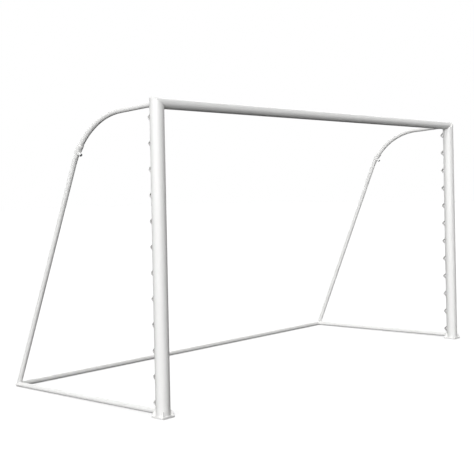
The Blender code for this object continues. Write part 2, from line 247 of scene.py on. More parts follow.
class GoalPaint(bpy.types.PropertyGroup):
    """Colours and gloss of the finishes."""

    paint: FloatVectorProperty(
        name="Paint", description="Colour of the powder coat on all but the loops",
        subtype='COLOR', size=3, default=(0.90, 0.90, 0.89), min=0, max=1)
    # The loops carry the frame's white coat; this darker grey is painted shade, standing in for
    # the shade the loops sit in.
    loop_paint: FloatVectorProperty(
        name="Loop paint", description="Colour of the grey coat on the net loops",
        subtype='COLOR', size=3, default=(0.72, 0.72, 0.71), min=0, max=1)
    gloss_roughness: FloatProperty(
        name="Gloss", description="Roughness of the tubes' powder coat",
        default=0.38, min=0.05, max=1, subtype='FACTOR')
    satin_roughness: FloatProperty(
        name="Satin", description="Roughness of the powder coat on plates, loops and welds",
        default=0.46, min=0.05, max=1, subtype='FACTOR')
    dust: FloatVectorProperty(
        name="Dust", description="Colour of the dust near the ground",
        subtype='COLOR', size=3, default=(0.60, 0.585, 0.55), min=0, max=1)
    dust_amount: FloatProperty(
        name="Dust amount", description="How much dust lies near the ground",
        default=0.22, min=0, max=1, subtype='FACTOR')
    steel: FloatVectorProperty(
        name="Bare steel", description="Colour of the steel where paint has chipped",
        subtype='COLOR', size=3, default=(0.36, 0.35, 0.34), min=0, max=1)
    zinc: FloatVectorProperty(
        name="Zinc", description="Colour of the plating on the lock bolts",
        subtype='COLOR', size=3, default=(0.62, 0.63, 0.64), min=0, max=1)


class GoalStudio(bpy.types.PropertyGroup):
    """The floor, the backdrop and the light."""

    floor: FloatVectorProperty(
        name="Floor", description="Colour of the floor",
        subtype='COLOR', size=3, default=(0.50, 0.50, 0.50), min=0, max=1)
    floor_glow: FloatProperty(
        name="Floor glow", description="Light that the floor itself shows to the camera",
        default=0.70, min=0, max=2)
    floor_size: FloatProperty(
        name="Floor size", description="Length of each side of the floor",
        default=120, min=5, max=200, unit='LENGTH')
    left_strength: FloatProperty(
        name="Left light", description="Strength of the low soft light at the left",
        default=1.86, min=0, max=10)
    front_strength: FloatProperty(
        name="Front light", description="Strength of the low soft light at the front left",
        default=1.62, min=0, max=10)
    high_strength: FloatProperty(
        name="High light", description="Strength of the high broad light at the front",
        default=1.14, min=0, max=10)
    rear_strength: FloatProperty(
        name="Rear light", description="Strength of the soft light behind the goal",
        default=1.30, min=0, max=10)
    sky_strength: FloatProperty(
        name="Surrounding light", description="Strength of the even light all round",
        default=0.0, min=0, max=2)


# Modelling helpers

def pick(obj):
    """Make one object the only selected one, and the active one."""
    bpy.ops.object.select_all(action='DESELECT')
    obj.select_set(True)
    bpy.context.view_layer.objects.active = obj


@contextmanager
def editing(obj, mode='VERT'):
    """Edit one object, with nothing selected in it at first."""
    pick(obj)
    bpy.ops.object.mode_set(mode='EDIT')
    bpy.ops.mesh.select_mode(type=mode)
    bpy.ops.mesh.select_all(action='DESELECT')
    yield obj
    bpy.ops.object.mode_set(mode='OBJECT')


def select_edges(obj, wanted):
    """Select the edges that a test of their two ends accepts."""
    mesh = bmesh.from_edit_mesh(obj.data)
    for edge in mesh.edges:
        edge.select_set(bool(wanted(edge.verts[0].co, edge.verts[1].co)))
    bmesh.update_edit_mesh(obj.data)


def select_sharp_edges(obj, wanted=None, angle=30):
    """Select the edges whose faces turn by more than an angle, in degrees."""
    mesh = bmesh.from_edit_mesh(obj.data)
    for edge in mesh.edges:
        turned = len(edge.link_faces) == 2 and edge.calc_face_angle() > math.radians(angle)
        edge.select_set(turned and (wanted is None or wanted(*[v.co for v in edge.verts])))
    bmesh.update_edit_mesh(obj.data)


def round_edges(obj, size, segments=3, wanted=None, angle=30):
    """Round the edges whose faces turn by more than an angle, in degrees."""
    with editing(obj, 'EDGE'):
        select_sharp_edges(obj, wanted, angle)
        bpy.ops.mesh.bevel(offset=size, segments=segments, affect='EDGES')


def new_object(name):
    """The object that an operator has just made, named, with its place in its mesh."""
    obj = bpy.context.object
    obj.name = name
    obj.data.name = name
    pick(obj)
    bpy.ops.object.transform_apply(location=True, rotation=True, scale=True)
    return obj


def facing(direction):
    """Rotation that turns +Z to a direction."""
    return Vector(direction).to_track_quat('Z', 'Y').to_euler()


def ring(name, centre, direction, radius, sides, filled=False):
    """A ring of edges, or a disc, square to a direction."""
    bpy.ops.mesh.primitive_circle_add(
        vertices=sides, radius=radius, fill_type='NGON' if filled else 'NOTHING',
        location=centre, rotation=facing(direction))
    return new_object(name)


def bar(name, start, end, radius, sides, end_fill='NGON'):
    """A straight round bar between two points."""
    start, end = Vector(start), Vector(end)
    bpy.ops.mesh.primitive_cylinder_add(
        vertices=sides, radius=radius, depth=(end - start).length, end_fill_type=end_fill,
        location=(start + end) / 2, rotation=facing(end - start))
    return new_object(name)


def draw_straight(vector):
    """Extrude what is selected along a straight run."""
    bpy.ops.mesh.extrude_region_move(TRANSFORM_OT_translate={"value": Vector(vector)})


def draw_bend(centre, angle, steps):
    """Sweep what is selected round a bend that turns down to the rear."""
    bpy.ops.mesh.spin(steps=steps, angle=angle, center=centre, axis=(1, 0, 0))


def apply_modifier(obj, kind, **settings):
    pick(obj)
    modifier = obj.modifiers.new(kind.title(), kind)
    for name, value in settings.items():
        setattr(modifier, name, value)
    bpy.ops.object.modifier_apply(modifier=modifier.name)


def face_outwards(obj):
    """Merge doubles, then turn every face outwards."""
    with editing(obj):
        bpy.ops.mesh.select_all(action='SELECT')
        bpy.ops.mesh.remove_doubles(threshold=MERGE_DISTANCE)
        bpy.ops.mesh.normals_make_consistent(inside=False)


def give_wall(obj, thickness):
    """Turn an open surface into a tube wall that lies inside it."""
    apply_modifier(obj, 'SOLIDIFY', thickness=thickness, offset=-1, use_even_offset=True)


def cut_off(obj, point, normal):
    """Cut away what lies beyond a plane, and close the cut."""
    with editing(obj):
        bpy.ops.mesh.select_all(action='SELECT')
        bpy.ops.mesh.bisect(plane_co=point, plane_no=normal, use_fill=True, clear_outer=True,
                            threshold=MERGE_DISTANCE)


def carve(obj, *cutters, operation='DIFFERENCE'):
    """Cut or join an object with others, which are removed afterwards."""
    for cutter in cutters:
        apply_modifier(obj, 'BOOLEAN', operation=operation, solver='EXACT', object=cutter)
        bpy.data.objects.remove(cutter, do_unlink=True)


def duplicate(obj, name, matrix):
    """A copy with a mesh of its own, placed in that mesh."""
    pick(obj)
    bpy.ops.object.duplicate(linked=False)
    copy = bpy.context.object
    copy.name = name
    copy.data.name = name
    copy.data.transform(matrix)
    return copy


def join(name, *parts):
    """One object of several."""
    pick(parts[0])
    for part in parts[1:]:
        part.select_set(True)
    bpy.ops.object.join()
    joined = bpy.context.object
    joined.name = name
    joined.data.name = name
    return joined


def finish_piece(obj, material, node=None, body="goal_frame", smooth=PIECE_SMOOTH):
    """Give a piece its material and finish, and set it on its body."""
    pick(obj)
    bpy.ops.object.shade_smooth_by_angle(angle=math.radians(smooth))
    obj.data.materials.clear()
    obj.data.materials.append(material)
    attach(obj, body)
    if node is not None:
        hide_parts(node)
    return obj


# Lines of the frame

def post_point(side, height):
    return Vector((side * POST_X, POST_Y, height))


def rail_point(side, along):
    """A point on the axis of a side rail, which falls slightly to the rear."""
    share = (PLATE_SIZE / 2) / RAIL_END
    front = (PLATE_THICKNESS + SEAT + TUBE_RADIUS - share * TUBE_RADIUS) / (1 - share)
    fall = (front - TUBE_RADIUS) / RAIL_END
    return Vector((side * POST_X, POST_Y + along, front - fall * along))


def straight_run():
    """How far the stay runs straight before its bend."""
    reach = BEND_RADIUS * (math.sin(LEG_SLOPE) - math.sin(STAY_SLOPE))
    drop = BEND_RADIUS * (math.cos(STAY_SLOPE) - math.cos(LEG_SLOPE))
    leg_drop = BAR_HEIGHT - drop - rail_point(1, GOAL_DEPTH).z
    leg_reach = leg_drop / math.tan(LEG_SLOPE)
    ratio = math.tan(STAY_SLOPE) / math.tan(LEG_SLOPE)
    return (GOAL_DEPTH - reach - leg_reach) / (1 - ratio)


def bend_slope(step):
    return STAY_SLOPE + (LEG_SLOPE - STAY_SLOPE) * step / BEND_STEPS


def heading(slope):
    """Direction along the stay or leg where it slopes down by an angle."""
    return Vector((0.0, math.cos(slope), -math.sin(slope)))


def outward(slope):
    """Direction from the middle of the bend to the tube."""
    return Vector((0.0, math.sin(slope), math.cos(slope)))


def bend_centre(side):
    run = straight_run()
    start = post_point(side, BAR_HEIGHT - run * math.tan(STAY_SLOPE)) + Vector((0, run, 0))
    return start - BEND_RADIUS * outward(STAY_SLOPE)


def bend_point(side, step):
    return bend_centre(side) + BEND_RADIUS * outward(bend_slope(step))


def mitre_normal(side):
    return Vector((-side * math.sin(MITRE_ANGLE), 0.0, math.cos(MITRE_ANGLE)))


def mitre_point(side, offset):
    return post_point(side, BAR_HEIGHT) + mitre_normal(side) * offset


def lock_frame(side):
    """Place and turn of a lock bolt, whose +Z points to the inside of the bend."""
    slope = bend_slope(LOCK_STEP)
    turn = Matrix.Rotation(math.pi - slope, 4, 'X')
    return Matrix.Translation(bend_point(side, LOCK_STEP)) @ turn


def foot_diagonal(side, number):
    """Place and turn on one of the four diagonals of a base plate."""
    turn = Matrix.Rotation(math.radians(45 + 90 * number), 4, 'Z')
    return Matrix.Translation(post_point(side, 0)) @ turn


def lock_drill(side, start):
    """A bar in place of the lock bolt's hole, from a height over the tube's axis."""
    lock = lock_frame(side)
    return bar("drill", lock @ Vector((0, 0, start)), lock @ Vector((0, 0, 2 * SLEEVE_RADIUS)),
               DRILL_RADIUS, DRILL_SIDES)


def rail_cope(side, sides):
    """A bar in place of a side rail's rear end, to cut other pieces with."""
    return bar("rail_cope", rail_point(side, GOAL_DEPTH - 2 * CUTTER_REACH),
               rail_point(side, GOAL_DEPTH + 2 * CUTTER_REACH), TUBE_RADIUS, sides)


# Shader node groups and materials

def add_node(tree, kind, inputs=None, **settings):
    """A node with its settings, whose inputs are values or other nodes' outputs."""
    node = tree.nodes.new(kind)
    for name, value in settings.items():
        setattr(node, name, value)
    for socket, value in (inputs or {}).items():
        if isinstance(value, bpy.types.NodeSocket):
            tree.links.new(value, node.inputs[socket])
        else:
            node.inputs[socket].default_value = value
    return node


def new_group(name, inputs, outputs):
    """An empty node group, with its sockets and their defaults."""
    group = bpy.data.node_groups.new(name, 'ShaderNodeTree')
    for label, kind, default in inputs:
        socket = group.interface.new_socket(name=label, in_out='INPUT', socket_type=kind)
        socket.default_value = default
    for label, kind in outputs:
        group.interface.new_socket(name=label, in_out='OUTPUT', socket_type=kind)
    start = group.nodes.new('NodeGroupInput')
    end = group.nodes.new('NodeGroupOutput')
    return group, start.outputs, end.inputs


def math_node(tree, operation, first, second=0.0, clamp=False):
    node = add_node(tree, 'ShaderNodeMath', {0: first, 1: second}, operation=operation)
    node.use_clamp = clamp
    return node.outputs[0]


def times(tree, first, second, clamp=False):
    return math_node(tree, 'MULTIPLY', first, second, clamp)


def plus(tree, first, second, clamp=False):
    return math_node(tree, 'ADD', first, second, clamp)


def noise(tree, vector, scale, detail=2.0, roughness=0.5, distortion=0.0):
    node = add_node(tree, 'ShaderNodeTexNoise', {
        "Vector": vector, "Scale": scale, "Detail": detail, "Roughness": roughness,
        "Distortion": distortion})
    return node.outputs[0]


def step_up(tree, value, low, high):
    """A value mapped to 0 at low and 1 at high, with a soft run between."""
    node = add_node(tree, 'ShaderNodeMapRange', {
        "Value": value, "From Min": low, "From Max": high}, interpolation_type='SMOOTHSTEP')
    return node.outputs[0]


def orange_peel_group():
    """Fine waviness of a sprayed coat, as a height."""
    group, given, made = new_group(
        "Orange peel",
        [("Scale", 'NodeSocketFloat', 380.0), ("Waviness", 'NodeSocketFloat', 0.4)],
        [("Height", 'NodeSocketFloat')])
    place = add_node(group, 'ShaderNodeTexCoord').outputs["Object"]
    fine = noise(group, place, given["Scale"], detail=1.5)
    broad = noise(group, place, times(group, given["Scale"], 0.12), detail=1.0)
    waves = times(group, broad, given["Waviness"])
    group.links.new(plus(group, fine, waves), made["Height"])
    return group


def coat_tone_group():
    """Slight unevenness in the colour of a coat."""
    group, given, made = new_group(
        "Coat tone",
        [("Color", 'NodeSocketColor', (0.9, 0.9, 0.9, 1.0)),
         ("Scale", 'NodeSocketFloat', 3.0), ("Amount", 'NodeSocketFloat', 0.04)],
        [("Color", 'NodeSocketColor')])
    place = add_node(group, 'ShaderNodeTexCoord').outputs["Object"]
    clouds = noise(group, place, given["Scale"], detail=4.0, roughness=0.6, distortion=0.4)
    specks = noise(group, place, 900.0, detail=1.0)
    uneven = plus(group, clouds, times(group, specks, 0.25))
    change = times(group, math_node(group, 'SUBTRACT', uneven, 0.62), given["Amount"])
    value = plus(group, change, 1.0)
    shade = add_node(group, 'ShaderNodeHueSaturation', {
        "Color": given["Color"], "Value": value})
    group.links.new(shade.outputs[0], made["Color"])
    return group


def ground_dust_group():
    """Mask of dust and splashes that thin out with height above the ground."""
    group, given, made = new_group(
        "Ground dust",
        [("Height", 'NodeSocketFloat', 0.30), ("Amount", 'NodeSocketFloat', 0.3)],
        [("Mask", 'NodeSocketFloat')])
    place = add_node(group, 'ShaderNodeTexCoord').outputs["Object"]
    up = add_node(group, 'ShaderNodeSeparateXYZ', {0: place}).outputs[2]
    share = math_node(group, 'DIVIDE', up, given["Height"])
    near = math_node(group, 'SUBTRACT', 1.0, share, clamp=True)
    near = math_node(group, 'POWER', near, 2.2)
    haze = noise(group, place, 22.0, detail=5.0, roughness=0.65, distortion=0.6)
    clouds = step_up(group, haze, 0.32, 0.72)
    drops = step_up(group, noise(group, place, 260.0, detail=2.0), 0.60, 0.74)
    marks = plus(group, times(group, clouds, 0.75), times(group, drops, 0.5))
    mask = times(group, times(group, near, marks), given["Amount"], clamp=True)
    group.links.new(mask, made["Mask"])
    return group


def rub_mark_group():
    """Mask of faint rubs and hairline scratches, drawn out along one direction."""
    group, given, made = new_group(
        "Rub marks",
        [("Length", 'NodeSocketVector', (1.0, 1.0, 10.0)),
         ("Turn", 'NodeSocketVector', (0.0, 0.0, 0.0)),
         ("Amount", 'NodeSocketFloat', 0.3)],
        [("Mask", 'NodeSocketFloat')])
    place = add_node(group, 'ShaderNodeTexCoord').outputs["Object"]
    lined = add_node(group, 'ShaderNodeMapping', {
        "Vector": place, "Rotation": given["Turn"], "Scale": given["Length"]},
        vector_type='TEXTURE').outputs[0]
    fine = noise(group, lined, 420.0, detail=2.0, roughness=0.5, distortion=0.2)
    hairs = step_up(group, fine, 0.66, 0.74)
    patches = step_up(group, noise(group, place, 6.0, detail=3.0), 0.50, 0.68)
    rubs = step_up(group, noise(group, lined, 60.0, detail=4.0, roughness=0.6), 0.58, 0.80)
    marks = plus(group, times(group, hairs, 0.7), times(group, rubs, 0.5))
    mask = times(group, times(group, marks, patches), given["Amount"], clamp=True)
    group.links.new(mask, made["Mask"])
    return group


def edge_chip_group():
    """Mask of small chips on edges that carry the edge_wear attribute."""
    group, given, made = new_group(
        "Edge chips",
        [("Scale", 'NodeSocketFloat', 260.0), ("Amount", 'NodeSocketFloat', 0.5)],
        [("Mask", 'NodeSocketFloat')])
    place = add_node(group, 'ShaderNodeTexCoord').outputs["Object"]
    worn = add_node(group, 'ShaderNodeAttribute', attribute_name="edge_wear").outputs["Fac"]
    broken = noise(group, place, given["Scale"], detail=3.0, roughness=0.6)
    reach = times(group, worn, given["Amount"])
    depth = plus(group, broken, reach)
    group.links.new(step_up(group, depth, 0.96, 1.02), made["Mask"])
    return group


def plating_group():
    """Tone and roughness of dull zinc plating."""
    group, given, made = new_group(
        "Zinc plating",
        [("Color", 'NodeSocketColor', (0.6, 0.6, 0.6, 1.0)),
         ("Scale", 'NodeSocketFloat', 350.0), ("Roughness", 'NodeSocketFloat', 0.50)],
        [("Color", 'NodeSocketColor'), ("Roughness", 'NodeSocketFloat'),
         ("Height", 'NodeSocketFloat')])
    place = add_node(group, 'ShaderNodeTexCoord').outputs["Object"]
    cells = add_node(group, 'ShaderNodeTexVoronoi', {
        "Vector": place, "Scale": given["Scale"]}).outputs["Color"]
    grain = add_node(group, 'ShaderNodeSeparateColor', {0: cells}).outputs[0]
    stain = noise(group, place, 160.0, detail=4.0, roughness=0.6)
    uneven = plus(group, times(group, grain, 0.10), times(group, stain, 0.30))
    value = plus(group, uneven, 0.80)
    shade = add_node(group, 'ShaderNodeHueSaturation', {
        "Color": given["Color"], "Value": value})
    rough = plus(group, given["Roughness"], times(group, stain, 0.22))
    group.links.new(shade.outputs[0], made["Color"])
    group.links.new(math_node(group, 'SUBTRACT', rough, 0.08), made["Roughness"])
    group.links.new(plus(group, grain, stain), made["Height"])
    return group


GROUP_MAKERS = {
    "Orange peel": orange_peel_group,
    "Coat tone": coat_tone_group,
    "Ground dust": ground_dust_group,
    "Rub marks": rub_mark_group,
    "Edge chips": edge_chip_group,
    "Zinc plating": plating_group,
}


# How far rubs are drawn out on each kind of tube, and their turn round X
RUB_RUNS = {
    "post": ((1.0, 1.0, 16.0), 0.0),
    "crossbar": ((16.0, 1.0, 1.0), 0.0),
    "stay": ((1.0, 9.0, 1.0), math.radians(-25)),
    "leg": ((1.0, 12.0, 1.0), -LEG_SLOPE),
    "side_rail": ((1.0, 16.0, 1.0), 0.0),
    "rear_rail": ((16.0, 1.0, 1.0), 0.0),
}
RUBBED_COAT = (0.66, 0.65, 0.63, 1.0)
WORN_ZINC = (0.42, 0.40, 0.37, 1.0)


def use_group(tree, name, inputs):
    """Place a shared node group in a material, making it the first time."""
    group = bpy.data.node_groups.get(name) or GROUP_MAKERS[name]()
    return add_node(tree, 'ShaderNodeGroup', inputs, node_tree=group).outputs


def mix_colour(tree, mask, under, over):
    node = add_node(tree, 'ShaderNodeMix', data_type='RGBA')
    tree.links.new(mask, node.inputs[0])
    for socket, value in ((node.inputs[6], under), (node.inputs[7], over)):
        if isinstance(value, bpy.types.NodeSocket):
            tree.links.new(value, socket)
        else:
            socket.default_value = value
    return node.outputs[2]


def new_material(name):
    material = bpy.data.materials.new(name)
    material.use_nodes = True
    tree = material.node_tree
    return material, tree, tree.nodes["Principled BSDF"]


def painted(name, colour, roughness, length, turn=(0, 0, 0), rubs=0.35, peel=380.0,
            peel_depth=0.00006, dust_height=0.30, chips=0.0):
    """Powder coat on steel: orange peel, uneven tone, rubs, dust and chips."""
    material = bpy.data.materials.get(name)
    if material is not None:
        return material
    paint = bpy.context.scene.goal_paint
    material, tree, shader = new_material(name)
    tone = use_group(tree, "Coat tone", {"Color": (*colour, 1.0)})["Color"]
    rub = use_group(tree, "Rub marks", {"Length": length, "Turn": turn, "Amount": rubs})[0]
    dust = use_group(tree, "Ground dust", {
        "Height": dust_height, "Amount": paint.dust_amount})[0]
    rubbed = mix_colour(tree, times(tree, rub, 0.35), tone, RUBBED_COAT)
    dusty = mix_colour(tree, dust, rubbed, (*paint.dust, 1.0))
    rough = plus(tree, times(tree, rub, 0.20), roughness)
    rough = plus(tree, rough, times(tree, dust, 0.45), clamp=True)
    height = use_group(tree, "Orange peel", {"Scale": peel})["Height"]
    if chips:
        chip = use_group(tree, "Edge chips", {"Amount": chips})[0]
        dusty = mix_colour(tree, chip, dusty, (*paint.steel, 1.0))
        height = math_node(tree, 'SUBTRACT', height, times(tree, chip, 2.0))
        rough = plus(tree, rough, times(tree, chip, 0.2), clamp=True)
    bump = add_node(tree, 'ShaderNodeBump', {
        "Height": height, "Strength": 0.6, "Distance": peel_depth})
    tree.links.new(dusty, shader.inputs["Base Color"])
    tree.links.new(rough, shader.inputs["Roughness"])
    tree.links.new(bump.outputs[0], shader.inputs["Normal"])
    shader.inputs["Coat Weight"].default_value = 0.15
    shader.inputs["Coat Roughness"].default_value = 0.22
    return material


def tube_paint(kind):
    """Powder coat on one kind of tube, with its rubs drawn out along the tube."""
    paint = bpy.context.scene.goal_paint
    length, turn = RUB_RUNS[kind]
    return painted(kind + "_powder_coat", paint.paint, paint.gloss_roughness, length,
                   (turn, 0, 0))


def plate_paint():
    paint = bpy.context.scene.goal_paint
    return painted("plate_powder_coat", paint.paint, paint.satin_roughness,
                   (1.0, 3.0, 1.0), rubs=0.7, dust_height=0.12, chips=0.37)


def loop_bar_paint():
    paint = bpy.context.scene.goal_paint
    # Painted shade: the loops' colour is darker than the frame's white to stand in for the shade
    # they sit in.
    return painted("loop_shaded_powder_coat", paint.loop_paint, paint.satin_roughness,
                   (1.0, 2.5, 1.0), rubs=0.6, peel=600.0, peel_depth=0.00004)


def weld_paint():
    """Powder coat over a weld bead, heavier and rougher than on the tubes."""
    paint = bpy.context.scene.goal_paint
    return painted("weld_powder_coat", paint.paint, paint.satin_roughness,
                   (1.0, 1.0, 1.0), rubs=0.2, peel=700.0, peel_depth=0.00012,
                   dust_height=0.20)


def zinc_plate():
    name = "zinc_plate_on_steel"
    material = bpy.data.materials.get(name)
    if material is not None:
        return material
    paint = bpy.context.scene.goal_paint
    material, tree, shader = new_material(name)
    plating = use_group(tree, "Zinc plating", {"Color": (*paint.zinc, 1.0)})
    chip = use_group(tree, "Edge chips", {"Scale": 900.0, "Amount": 0.40})[0]
    colour = mix_colour(tree, chip, plating["Color"], WORN_ZINC)
    bump = add_node(tree, 'ShaderNodeBump', {
        "Height": plating["Height"], "Strength": 0.5, "Distance": 0.00004})
    tree.links.new(colour, shader.inputs["Base Color"])
    tree.links.new(plating["Roughness"], shader.inputs["Roughness"])
    tree.links.new(bump.outputs[0], shader.inputs["Normal"])
    shader.inputs["Metallic"].default_value = 1.0
    return material


def mark_worn_edges(obj, flat=0.96):
    """Store edge_wear on each point: 1 on rounded edges, 0 on flat faces.

    The test is on the normals' largest part, so the object still has to lie along
    X, Y and Z.
    """
    mesh = obj.data
    worn = mesh.attributes.new("edge_wear", 'FLOAT', 'POINT')
    for vertex in mesh.vertices:
        largest = max(abs(part) for part in vertex.normal)
        worn.data[vertex.index].value = 1.0 if largest < flat else 0.0


# Weld beads

def round_surface(point, direction, radius):
    """Distance function of an endless round bar."""
    point, direction = Vector(point), Vector(direction).normalized()

    def distance(place):
        away = place - point
        return (away - direction * away.dot(direction)).length - radius
    return distance


def circle_line(centre, direction, radius, count):
    """A ring of points round a direction."""
    turn = Vector(direction).to_track_quat('Z', 'Y')
    angles = (2 * math.pi * number / count for number in range(count))
    return [Vector(centre) + turn @ Vector((math.cos(angle), math.sin(angle), 0.0)) * radius
            for angle in angles]


def meeting_line(line, direction, surface):
    """Where the outside of a bar meets a surface, from a ring of points round the bar.

    Each point is found along the bar's side, from outside the surface inwards.
    """
    direction = Vector(direction).normalized()
    met = []
    for point in line:
        outside, inside = WELD_REACH, 0.0
        for _ in range(40):
            middle = (outside + inside) / 2
            if surface(point + direction * middle) > 0:
                outside = middle
            else:
                inside = middle
        met.append(point + direction * outside)
    return met


def evenly_spaced(line, spacing):
    """The same closed line with points at even spacing, a whole number of ripples long."""
    closed = [*line, line[0]]
    lengths = [0.0]
    for first, second in zip(closed, closed[1:]):
        lengths.append(lengths[-1] + (second - first).length)
    ripple = len(BEAD_RIPPLE)
    count = ripple * max(6, round(lengths[-1] / spacing / ripple))
    points, part = [], 0
    for number in range(count):
        goal = lengths[-1] * number / count
        while lengths[part + 1] < goal:
            part += 1
        share = (goal - lengths[part]) / (lengths[part + 1] - lengths[part])
        points.append(closed[part].lerp(closed[part + 1], share))
    return points


def eased(points, rounds):
    """A closed line with its kinks rounded off."""
    for _ in range(rounds):
        points = [(points[number - 1] + 2 * point + points[(number + 1) % len(points)]) / 4
                  for number, point in enumerate(points)]
    return points


def weld_bead(name, line, size):
    """A rippled bead along a closed line."""
    spacing = bpy.context.scene.goal_details.weld_ripple
    points = eased(evenly_spaced(line, spacing), BEAD_EASING)
    bpy.ops.mesh.primitive_circle_add(vertices=len(points), radius=0.01)
    bead = new_object(name)
    for vertex, point in zip(bead.data.vertices, points):
        vertex.co = point
    pick(bead)
    bpy.ops.object.convert(target='CURVE')
    bead = bpy.context.object
    bead.data.bevel_depth = size
    bead.data.bevel_resolution = 2
    for number, point in enumerate(bead.data.splines[0].points):
        swell = 0.04 * math.sin(number * 0.23) + 0.03 * math.sin(number * 0.71)
        point.radius = BEAD_RIPPLE[number % len(BEAD_RIPPLE)] + swell
    bpy.ops.object.convert(target='MESH')
    bead = bpy.context.object
    bead.name = name
    bead.data.name = name
    face_outwards(bead)
    return bead


def trim_to_box(obj):
    """Cut off what stands below, above or behind the frame's own box."""
    low, high = CAD_BOX
    for corner, normal in ((low, (0, 0, -1)), (high, (0, 0, 1)), (high, (0, 1, 0))):
        if max((vertex.co - corner).dot(Vector(normal)) for vertex in obj.data.vertices) > 0:
            cut_off(obj, corner, normal)


# Operators, one for each group of like pieces

class GOAL_OT_posts(bpy.types.Operator):
    """Make the two posts, mitred at the top"""

    bl_idname = "goal.posts"
    bl_label = "Posts"

    def execute(self, context):
        sides = context.scene.goal_details.post_sides
        for name, side in SIDES:
            post = bar(name + "_post_tube", post_point(side, PLATE_THICKNESS + SEAT),
                       post_point(side, GOAL_TOP + OVERRUN), POST_RADIUS, sides, 'NOTHING')
            give_wall(post, POST_WALL)
            under = -CORNER_PLATE_THICKNESS - SEAT
            cut_off(post, mitre_point(side, under), mitre_normal(side))
            finish_piece(post, tube_paint("post"), name + "_post")
        return {'FINISHED'}


class GOAL_OT_corner_plates(bpy.types.Operator):
    """Make the plates that close the mitred tops of the posts"""

    bl_idname = "goal.corner_plates"
    bl_label = "Corner plates"

    def execute(self, context):
        details = context.scene.goal_details
        for name, side in SIDES:
            plate = bar(name + "_corner_cover", post_point(side, BAR_HEIGHT - 2 * BAR_RADIUS),
                        post_point(side, GOAL_TOP + OVERRUN), POST_RADIUS, details.post_sides)
            cut_off(plate, mitre_point(side, 0.0), mitre_normal(side))
            cut_off(plate, mitre_point(side, -CORNER_PLATE_THICKNESS), -mitre_normal(side))
            round_edges(plate, details.rim_edge)
            finish_piece(plate, plate_paint(), name + "_corner_plate")
        return {'FINISHED'}


class GOAL_OT_crossbar(bpy.types.Operator):
    """Make the crossbar, mitred at both ends"""

    bl_idname = "goal.crossbar"
    bl_label = "Crossbar"

    def execute(self, context):
        end = POST_X + POST_RADIUS + OVERRUN
        crossbar = bar("crossbar_tube", (-end, POST_Y, BAR_HEIGHT), (end, POST_Y, BAR_HEIGHT),
                       BAR_RADIUS, context.scene.goal_details.post_sides, 'NOTHING')
        give_wall(crossbar, BAR_WALL)
        for _, side in SIDES:
            cut_off(crossbar, mitre_point(side, SEAT), -mitre_normal(side))
        finish_piece(crossbar, tube_paint("crossbar"), "crossbar")
        return {'FINISHED'}


class GOAL_OT_base_plates(bpy.types.Operator):
    """Make the square base plates under the posts"""

    bl_idname = "goal.base_plates"
    bl_label = "Base plates"

    def execute(self, context):
        edge = context.scene.goal_details.plate_edge
        for name, side in SIDES:
            bpy.ops.mesh.primitive_cube_add(
                size=1.0, location=post_point(side, PLATE_THICKNESS / 2),
                scale=(PLATE_SIZE, PLATE_SIZE, PLATE_THICKNESS))
            plate = new_object(name + "_foot_plate")
            with editing(plate, 'EDGE'):
                select_edges(plate, lambda a, b: abs(a.z - b.z) > PLATE_THICKNESS / 2)
                bpy.ops.mesh.bevel(offset=PLATE_CORNER_RADIUS, segments=6, affect='EDGES')
            round_edges(plate, edge, 4, lambda a, b: abs(a.z - b.z) < NEARLY_LEVEL, 60)
            mark_worn_edges(plate)
            finish_piece(plate, plate_paint(), name + "_base_plate")
        return {'FINISHED'}


class GOAL_OT_gussets(bpy.types.Operator):
    """Make one gusset and copy it onto the diagonals of both base plates"""

    bl_idname = "goal.gussets"
    bl_label = "Gussets"

    def execute(self, context):
        inner = POST_RADIUS + SEAT
        bottom = PLATE_THICKNESS + SEAT
        top = bottom + GUSSET_HEIGHT
        bpy.ops.mesh.primitive_cube_add(
            size=1.0, location=(inner + GUSSET_REACH / 2, 0, (bottom + top) / 2),
            scale=(GUSSET_REACH, GUSSET_THICKNESS, GUSSET_HEIGHT))
        gusset = new_object("gusset")
        slope = (GUSSET_HEIGHT - GUSSET_NOSE, 0, GUSSET_REACH - GUSSET_NOSE)
        cut_off(gusset, (inner + GUSSET_REACH, 0, bottom + GUSSET_NOSE), slope)
        cut_off(gusset, (inner + GUSSET_CLIP, 0, bottom), (-1, 0, -1))
        round_edges(gusset, context.scene.goal_details.gusset_edge)
        mark_worn_edges(gusset, flat=0.80)
        for name, side in SIDES:
            for number in range(4):
                copy = duplicate(gusset, f"{name}_foot_gusset_{number + 1}",
                                 foot_diagonal(side, number))
                finish_piece(copy, plate_paint(),
                             f"{name}_gusset_{number + 1}")
        bpy.data.objects.remove(gusset, do_unlink=True)
        return {'FINISHED'}


